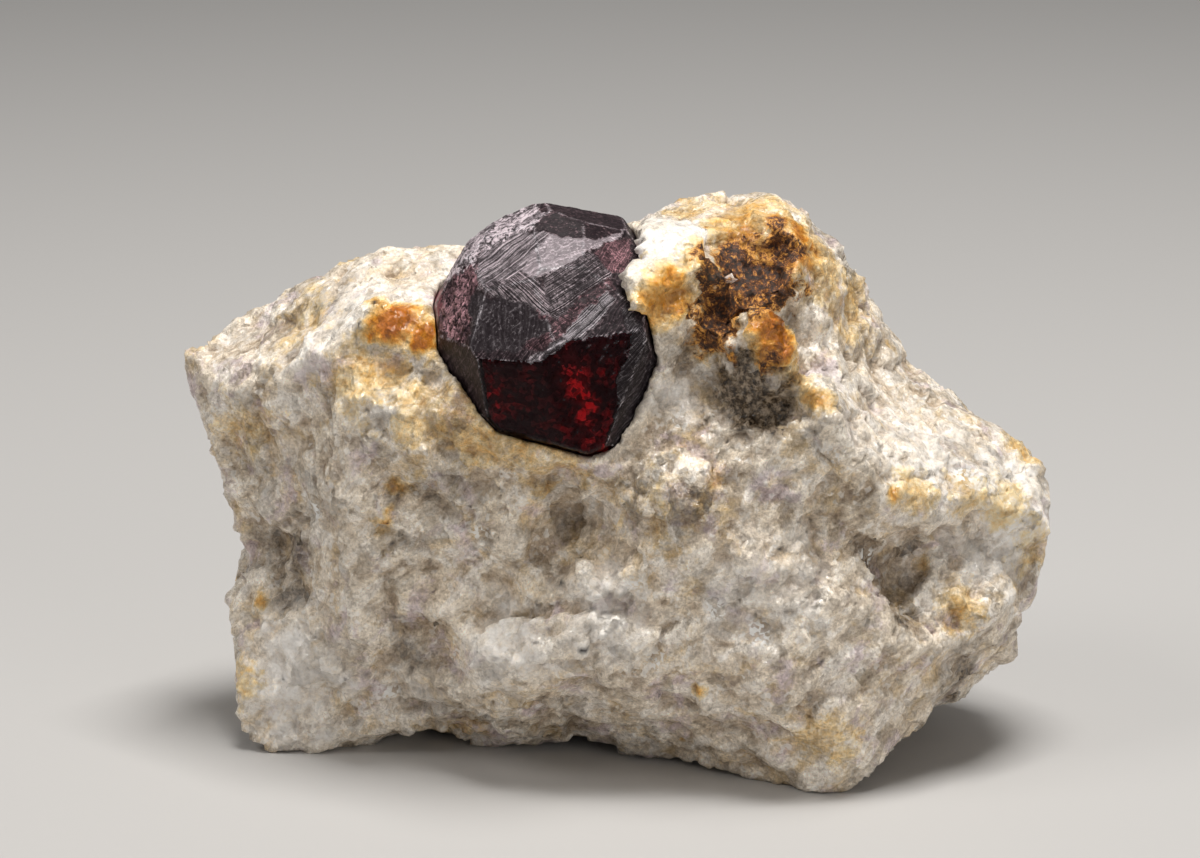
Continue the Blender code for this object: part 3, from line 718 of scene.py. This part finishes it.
rust_chance = math_node("SUBTRACT", fine_grains["Green"], 0.5)
rust_grains = math_node("MULTIPLY_ADD", rust_chance, 0.16, cloud(0.45, 3.0, 0.9, 0.8))
rust_grains = math_node("MULTIPLY_ADD", math_node("SUBTRACT", 0.84, rust_here), 0.22, rust_grains)
rust_colour = ramp(rust_grains, [
    (0.38, (0.008, 0.004, 0.002)), (0.47, (0.055, 0.017, 0.005)),
    (0.57, (0.20, 0.065, 0.010)), (0.70, (0.78, 0.37, 0.07)),
])
rust_cover = ramp(rust_here, [(0.12, grey(0.0)), (0.45, grey(0.97))])
stone = mix(rust_cover, stone, rust_colour)
stone = mix(attribute("speck"), stone, (0.035, 0.03, 0.028))
# Painted glints: small grains in the glint patches are painted near white.
painted_glint_grains = math_node("GREATER_THAN", grains(0.3)["Red"], 0.55)
stone = mix(math_node("MULTIPLY", attribute("painted_glint"), painted_glint_grains), stone, (1.0, 0.99, 0.96))
link(stone, shader.inputs["Base Color"])

grain_gloss = ramp(small_grains["Red"], [(0.0, grey(0.60)), (0.72, grey(0.45)), (0.90, grey(0.13))])
cleavage_gloss = ramp(fine_grains["Blue"], [(0.0, grey(1.0)), (0.60, grey(0.9)), (0.66, grey(0.28))])
stone_gloss = mix(1.0, grain_gloss, cleavage_gloss, "MULTIPLY")
rust_matt = math_node("MULTIPLY", rust_cover, 0.85)
link(mix(rust_matt, stone_gloss, grey(0.80)), shader.inputs["Roughness"])
shader.inputs["IOR"].default_value = STONE_IOR

# Each grain leans its own way, so that it catches the light by itself.
leaning = node("ShaderNodeNewGeometry").outputs["Normal"]
for grain_size, lean in ((1.9, 0.45), (0.8, 0.5), (0.38, 0.5)):
    tilt = vector_node("SUBTRACT", cells(grain_size), grey(0.5))
    leaning = vector_node("ADD", leaning, vector_node("MULTIPLY", tilt, grey(lean)))
leaning = vector_node("NORMALIZE", leaning, grey(0.0))
grit = cloud(0.8, 4.0, 0.75, 0.8, fibres)
link(bump(grit, 0.16, 0.8, leaning), shader.inputs["Normal"])

rock.data.materials.clear()
rock.data.materials.append(feldspar)
rock.data.shade_smooth()
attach(rock, "root")
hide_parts("matrix")

# The crystal is one garnet, nearly black, and deep red where light gets in through its lower faces. The upper
# faces are etched and grew in steps, so they are satin, combed with fine lines or rough as sugar. The rock
# grew round it. Sizes and depths are in millimetres.
CRYSTAL_STEP = 0.14 * MM
CRUMB_DEPTH = 0.10
FACE_GRAIN = 0.015
FACE_WANDER = 0.34
LINE_WAVER = 0.8
EDGE_WIDTH = 0.12 * MM
EDGE_CHIPPING = 1.5
EDGE_HIGHLIGHT = 0.40
EDGE_CRUMBS = 0.8
EDGE_PINK = 0.3
GARNET_IOR = 1.79

# How an etched face looks: how much pale film it has, partly a painted sheen that stands in for reflected
# light, and how pink that is, how rough it is, the angle and spacing of its growth lines in the front view,
# how deep they are and how far they break up the film, and how much of it is crumbs.
Look = namedtuple("Look", "film pink rough angle gap relief lined crumbs")
PLAIN_LOOK = Look(0.025, 0.4, 0.36, 55, 0.45, 0.03, 0.8, 0.4)
ETCHED_FACES = [
    (Look(0.045, 0.1, 0.30, 88, 0.60, 0.006, 0.3, 0.3), [
        (-10.3, 10.6), (-8.4, 10.5), (-6.8, 10.3), (-5.4, 9.7), (-3.9, 8.3), (-4.4, 7.7), (-5.8, 7.0),
        (-6.8, 6.2), (-10.4, 6.2),
    ]),
    (Look(0.020, 0.5, 0.50, -5, 0.50, 0.010, 0.4, 0.5), [
        (-5.0, 18.1), (-0.4, 17.9), (2.6, 16.3), (1.9, 15.7), (1.0, 15.5), (-0.6, 15.3), (-2.4, 15.4),
        (-4.0, 15.5), (-5.0, 16.6),
    ]),
    (Look(0.55, 0.15, 0.60, 40, 0.90, 0.030, 0.3, 0.9), [
        (-6.1, 17.7), (-5.2, 18.0), (-4.4, 17.2), (-4.8, 16.6), (-5.8, 15.9), (-7.0, 15.3),
        (-9.3, 14.3), (-10.1, 13.3), (-11.4, 12.4), (-12.6, 11.6), (-12.3, 13.0), (-10.9, 15.1),
        (-9.3, 16.6), (-7.7, 17.5),
    ]),
    (Look(0.32, 0.15, 0.36, 38, 0.26, 0.050, 0.9, 0.3), [
        (-9.3, 14.3), (-5.8, 15.9), (-4.1, 15.6), (-4.6, 14.8), (-5.6, 13.7), (-6.3, 12.6),
        (-7.4, 12.0), (-9.6, 11.5), (-10.1, 12.7),
    ]),
    (Look(0.50, 0.15, 0.28, 20, 0.60, 0.004, 0.15, 0.15), [
        (-4.1, 15.5), (-0.6, 15.2), (0.8, 15.4), (2.1, 16.1), (1.6, 15.1), (0.3, 14.8), (-1.2, 14.0),
        (-2.7, 13.3), (-3.8, 12.5), (-5.0, 12.1), (-6.3, 12.6), (-5.6, 13.7), (-4.6, 14.8),
    ]),
    (Look(0.20, 0.7, 0.42, 60, 0.50, 0.010, 0.4, 0.6), [
        (0.3, 14.8), (2.4, 15.4), (2.4, 12.3), (1.0, 12.4), (0.4, 13.3), (-0.4, 14.1),
    ]),
    (Look(0.18, 0.2, 0.36, -42, 0.22, 0.040, 1.0, 0.5), [
        (-7.4, 12.0), (-6.3, 12.6), (-5.2, 12.1), (-4.3, 11.1), (-3.8, 8.9), (-4.4, 9.1), (-5.4, 9.7),
        (-6.8, 10.3), (-9.8, 11.0), (-9.6, 11.6),
    ]),
    (Look(0.12, 0.2, 0.36, 33, 0.20, 0.040, 1.0, 0.5), [
        (-4.4, 12.2), (-2.7, 13.3), (-1.2, 14.0), (-0.4, 14.1), (0.4, 13.3), (1.1, 12.3), (0.8, 11.9),
        (-0.6, 11.4), (-2.4, 9.7), (-3.3, 8.8), (-3.8, 9.0), (-4.3, 11.1),
    ]),
    (Look(0.09, 0.7, 0.45, 38, 0.50, 0.030, 0.6, 0.8), [
        (-5.4, 9.7), (-3.3, 8.8), (-0.6, 11.4), (0.8, 12.0), (1.4, 11.1), (0.4, 10.9), (-0.6, 10.1),
        (-2.9, 7.4), (-4.8, 6.3), (-6.4, 6.3), (-3.9, 8.3),
    ]),
    (Look(0.48, 0.05, 0.36, 44, 0.22, 0.060, 1.0, 0.3), [
        (0.4, 11.0), (1.4, 10.7), (1.0, 9.9), (-1.6, 7.3), (-2.6, 7.1), (-3.0, 7.4), (-2.0, 8.7),
        (-0.6, 10.1),
    ]),
    (Look(0.22, 0.1, 0.50, 35, 0.50, 0.040, 0.6, 0.7), [
        (-3.0, 7.4), (-2.4, 7.0), (-3.6, 6.1), (-5.5, 5.2), (-5.9, 5.7), (-4.8, 6.3),
    ]),
    (Look(0.24, 0.65, 0.50, 60, 0.50, 0.040, 0.3, 1.0), [
        (-12.8, 11.1), (-12.5, 11.6), (-10.1, 13.3), (-9.6, 11.5), (-10.3, 10.6), (-10.4, 7.1),
        (-11.2, 6.7), (-12.2, 7.3), (-12.7, 7.9),
    ]),
    (Look(0.40, 1.0, 0.36, 80, 1.00, 0.0, 0.2, 0.2), [
        (-13.8, 11.1), (-12.6, 11.1), (-12.8, 9.1), (-13.2, 7.6), (-14.0, 7.6),
    ]),
    (Look(0.035, 0.1, 0.40, 50, 0.22, 0.040, 1.0, 0.5), [
        (1.8, 9.7), (2.8, 9.2), (3.8, 7.3), (3.9, 5.6), (4.9, 5.4), (4.6, 3.7), (4.0, 2.1), (2.6, 0.0),
        (1.6, -1.5), (1.1, -1.9), (1.2, 0.1), (1.5, 2.1), (1.2, 3.6), (1.7, 5.0), (2.2, 6.1),
        (2.3, 7.5),
    ]),
]
CLEAR_FACES = [(0.32, -0.33, 0.888), (-0.306, -0.50, 0.81), (0.41, -0.89, 0.20), (-0.25, -0.96, 0.1)]
SAME_FACE = 0.995
FLECK_LOOK = Look(0.07, 0.7, 0.4, 45, 0.3, 0.0, 0.4, 1.0)
HAIRLINE_LENGTH = 0.9
HAIRLINE_WIDTH = 0.15
HAIRLINE_LIMIT = 0.50
HAIRLINE_GAIN = 0.30
SCRATCHED_PLACE = (1.0, 6.2)
SCRATCHED_RADIUS = 2.6

garnet = merged_copy(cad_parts["garnet_crystal"], "garnet")
even_skin(garnet, CRYSTAL_STEP, 0)
garnet_points, garnet_normals = vertex_arrays(garnet.data)
garnet_seen = in_picture(garnet_points)
garnet_front = garnet_normals @ np.array(AWAY) < FACES_VIEWER
heights = above_crystal_faces(garnet_points)
order = heights.argsort(axis=1)
own, next_to = order[:, -1], order[:, -2]

clear_normals = np.array([RIGHT * a + UP * u - AWAY * t for a, u, t in CLEAR_FACES])
clear_normals /= np.linalg.norm(clear_normals, axis=1)[:, None]
etched = ((garnet_planes[:, :3] @ clear_normals.T).max(axis=1) < SAME_FACE)[own]
wander = np.array([
    noise.noise_vector(Vector(p) / (1.0 * MM)) + noise.noise_vector(Vector(p) / (0.35 * MM)) * 0.5
    for p in garnet_points
]) * FACE_WANDER
ragged_seen = garnet_seen + wander[:, :2]
look_values = np.tile(np.array(PLAIN_LOOK, dtype=float), (len(garnet_points), 1))
for look, outline in ETCHED_FACES:
    here = within(ragged_seen, outline) & garnet_front
    look_values[here] = look
    etched |= here

along = garnet_seen @ (0.71, 0.71) / HAIRLINE_LENGTH
across = garnet_seen @ (0.71, -0.71) / HAIRLINE_WIDTH
hairlines = np.array([noise.noise(Vector((a, b, 0.0))) for a, b in zip(along, across)])
from_scratched = np.linalg.norm(garnet_seen - SCRATCHED_PLACE, axis=1) / SCRATCHED_RADIUS
flecked = (hairlines > HAIRLINE_LIMIT - HAIRLINE_GAIN * np.exp(-from_scratched ** 2)) & ~etched
look_values[flecked] = FLECK_LOOK
etched |= flecked
film, pink, rough, angle, gap, relief, lined, crumbs = look_values.T.copy()

# The crystal's edges are chipped a little, and a pale film along them is a painted highlight.
rows = np.arange(len(garnet_points))
turn = np.linalg.norm(garnet_planes[own, :3] - garnet_planes[next_to, :3], axis=1)
from_edge = (heights[rows, own] - heights[rows, next_to]) / turn
chipping = drifts(garnet_points, 0.6, 0.8, 2.1, 3)
edge_width = (EDGE_WIDTH * (1.0 + chipping * EDGE_CHIPPING)).clip(1e-6)
# Painted highlight: pale film along the edges.
painted_edge_highlight = np.clip(1.0 - from_edge / edge_width, 0.0, 1.0) * etched
film = np.maximum(film, painted_edge_highlight * EDGE_HIGHLIGHT)
pink = np.where(painted_edge_highlight > 0.2, pink * EDGE_PINK, pink)
crumbs = np.maximum(crumbs, painted_edge_highlight * EDGE_CRUMBS)

angle = np.radians(angle)
waver = np.array([noise.noise(Vector(p) / (2.0 * MM)) for p in garnet_points]) * LINE_WAVER
phase = (garnet_seen[:, 1] * np.cos(angle) - garnet_seen[:, 0] * np.sin(angle)) / gap + waver
steps = np.array([noise.noise(Vector((p, 0.0, 0.0))) for p in phase])
rubble = drifts(garnet_points, 0.7, 0.7, 2.2, 3)
lift = (steps * relief + rubble * (FACE_GRAIN + crumbs ** 2 * CRUMB_DEPTH)) * MM
garnet_points += garnet_normals * lift[:, None]
garnet.data.vertices.foreach_set("co", garnet_points.ravel())
garnet.data.update()
for name, values in (
    ("film", film), ("pink", pink), ("rough", rough), ("phase", phase), ("lined", lined), ("crumbs", crumbs),
):
    store(garnet.data, name, values)

etched_garnet, tree, shader = principled("garnet, etched faces")
texture_place = node("ShaderNodeTexCoord").outputs["Object"]
combed = node("ShaderNodeTexNoise", noise_dimensions="1D")
combed.inputs["Scale"].default_value = 1.8
combed.inputs["Detail"].default_value = 5.0
combed.inputs["Roughness"].default_value = 0.9
link(math_node("MULTIPLY_ADD", cloud(0.9, 4.0, 0.7), 0.9, attribute("phase")), combed.inputs["W"])
# The bright crests of the growth lines, brighter than white, are painted glints.
lines = ramp(combed.outputs["Fac"], [(0.45, grey(0.0)), (0.52, grey(0.18)), (0.58, grey(2.6))])
lines = mix(attribute("lined"), grey(0.5), lines)
fading = ramp(cloud(1.4, 6.0, 0.75, 0.8), [(0.42, grey(0.25)), (0.58, grey(1.7))])
lines = mix(1.0, lines, mix(attribute("lined"), grey(1.0), fading), "MULTIPLY")
crumbling = ramp(cloud(0.50, 4.0, 0.9, 0.8), [(0.46, grey(0.0)), (0.56, grey(2.0))])
patchy = ramp(cloud(1.8, 4.0, 0.6, 0.5), [(0.38, grey(0.20)), (0.62, grey(1.4))])
crumbling = mix(attribute("crumbs"), grey(0.6), mix(1.0, crumbling, patchy, "MULTIPLY"))
# The film's brightness is partly painted sheen, since these faces reflect little.
film_and_sheen_here = math_node("MULTIPLY", attribute("film"), mix(1.0, lines, crumbling, "MULTIPLY"))
film_and_sheen_here = math_node("MULTIPLY", film_and_sheen_here, 2.2)
steep_scratches, low_scratches = (
    ramp(cloud(0.20, 3.0, 0.6, 0.3, drawn_out(turn, 10.0)), [(0.60, grey(0.0)), (0.67, grey(1.0))])
    for turn in ((0.2, 0.9, 0.4), (0.2, -0.5, 0.3))
)
scratched = math_node("MAXIMUM", steep_scratches, low_scratches)
scratched = math_node("MULTIPLY", scratched, math_node("ADD", film_and_sheen_here, 0.15))
film_and_sheen_here = math_node("ADD", film_and_sheen_here, scratched, clamp=True)
film_and_sheen_colour = mix(attribute("pink"), (0.66, 0.62, 0.66), (0.60, 0.20, 0.24))
link(mix(film_and_sheen_here, (0.007, 0.003, 0.005), film_and_sheen_colour), shader.inputs["Base Color"])
link(attribute("rough"), shader.inputs["Roughness"])
shader.inputs["IOR"].default_value = GARNET_IOR
shader.inputs["Specular IOR Level"].default_value = 0.09
scratches = bump(combed.outputs["Fac"], 0.06, attribute("lined"))
link(bump(cloud(0.35, 5.0, 0.7), 0.05, 0.5, scratches), shader.inputs["Normal"])

# The clear faces are like glass to look through, and the garnet behind them takes up nearly all but red.
clear_garnet, tree, shader = principled("garnet, clear faces")
texture_place = node("ShaderNodeTexCoord").outputs["Object"]
shader.inputs["Base Color"].default_value = (0.97, 0.03, 0.045, 1.0)
shader.inputs["Roughness"].default_value = 0.10
shader.inputs["IOR"].default_value = GARNET_IOR
shader.inputs["Specular Tint"].default_value = (0.09, 0.06, 0.07, 1.0)
shader.inputs["Transmission Weight"].default_value = 1.0
link(bump(cloud(1.1, 6.0, 0.6, 0.6), 0.06, 0.5), shader.inputs["Normal"])
depth_of_red = node("ShaderNodeVolumeAbsorption")
depth_of_red.inputs["Color"].default_value = (0.93, 0.02, 0.03, 1.0)
depth_of_red.inputs["Density"].default_value = 380.0
link(depth_of_red.outputs["Volume"], tree.nodes["Material Output"].inputs["Volume"])

garnet.data.materials.clear()
garnet.data.materials.append(clear_garnet)
garnet.data.materials.append(etched_garnet)
garnet.data.polygons.foreach_set(
    "material_index", [int(etched[list(face.vertices)].mean() > 0.5) for face in garnet.data.polygons]
)
garnet.data.shade_smooth()
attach(garnet, "root")
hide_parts("garnet_crystal")

# A veil of healed cracks lies inside the crystal, half a millimetre behind its clear faces. Its deep red
# gleams
# are painted: the veil is nearly black, and pale, in flakes brighter than white, at each gleam. Each gleam is
# placed where it shows in the front view: across, up and radius in millimetres, and how bright it is.
PAINTED_RED_GLEAMS = [
    (-2.2, 4.2, 0.9, 1.0), (-1.7, 3.1, 0.8, 1.2), (-1.0, 1.9, 0.6, 1.3), (-1.4, 1.1, 0.6, 1.2),
    (-2.5, 5.6, 1.0, 0.35), (0.4, 6.8, 1.2, 0.12), (0.6, 4.6, 1.2, 0.20), (-0.6, -0.4, 1.0, 0.35),
    (0.2, -1.0, 0.45, 1.0), (-0.9, -0.2, 0.3, 1.0), (1.0, 0.8, 1.0, 0.20), (-2.8, 0.4, 1.4, 0.12),
    (-4.4, 1.0, 1.4, 0.07), (-8.6, 3.2, 1.2, 0.22), (-7.8, 2.0, 1.0, 0.28), (-6.0, 2.4, 1.4, 0.08),
    (-9.4, 5.0, 1.2, 0.14), (-5.4, 4.4, 1.2, 0.07),
]
VEIL_DEPTH = 0.45
VEIL_CREASE = 0.4
VEIL_CREASE_SIZE = 1.4
VEIL_BACKGROUND = 0.010
cracks_and_painted_gleams, tree, shader = principled("garnet, healed cracks and painted gleams")
texture_place = node("ShaderNodeTexCoord").outputs["Object"]
place_on_stone = texture_place
painted_gleam_flakes = ramp(grains(0.45)["Red"], [
    (0.0, grey(0.15)), (0.60, grey(0.30)), (0.68, grey(1.1)), (1.0, grey(2.4)),
])
mist = ramp(cloud(0.8, 6.0, 0.7, 0.8), [(0.40, grey(0.25)), (0.60, grey(1.5))])
painted_gleam = math_node("MULTIPLY", attribute("painted_gleam"), mix(1.0, painted_gleam_flakes, mist, "MULTIPLY"), clamp=True)
link(mix(painted_gleam, (0.012, 0.002, 0.002), (1.0, 0.70, 0.65)), shader.inputs["Base Color"])
shader.inputs["Roughness"].default_value = 0.35
shader.inputs["Specular IOR Level"].default_value = 0.1

clear_faces = [face.vertices[:] for face in garnet.data.polygons if face.material_index == 0]
used = sorted({corner for face in clear_faces for corner in face})
new_number = {old: new for new, old in enumerate(used)}
crease = drifts(garnet_points[used], VEIL_CREASE_SIZE)
depth = (VEIL_DEPTH + crease * VEIL_CREASE) * MM
veil_points = garnet_points[used] - garnet_normals[used] * depth[:, None]
veil_mesh = bpy.data.meshes.new("garnet_cracks_and_painted_gleams")
veil_faces = [[new_number[corner] for corner in face] for face in clear_faces]
veil_mesh.from_pydata([tuple(p) for p in veil_points], [], veil_faces)
veil_seen = in_picture(veil_points)
# The painted gleams: bright base colour at the listed places, nearly black elsewhere.
painted_gleams = np.full(len(veil_points), VEIL_BACKGROUND)
for across, up, radius, brightness in PAINTED_RED_GLEAMS:
    away_from_it = np.linalg.norm(veil_seen - (across, up), axis=1) / radius
    painted_gleams = np.maximum(painted_gleams, brightness * np.exp(-away_from_it ** 2))
store(veil_mesh, "painted_gleam", painted_gleams)
veil_mesh.materials.append(cracks_and_painted_gleams)
veil = bpy.data.objects.new("garnet_cracks_and_painted_gleams", veil_mesh)
bpy.context.scene.collection.objects.link(veil)
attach(veil, "root")
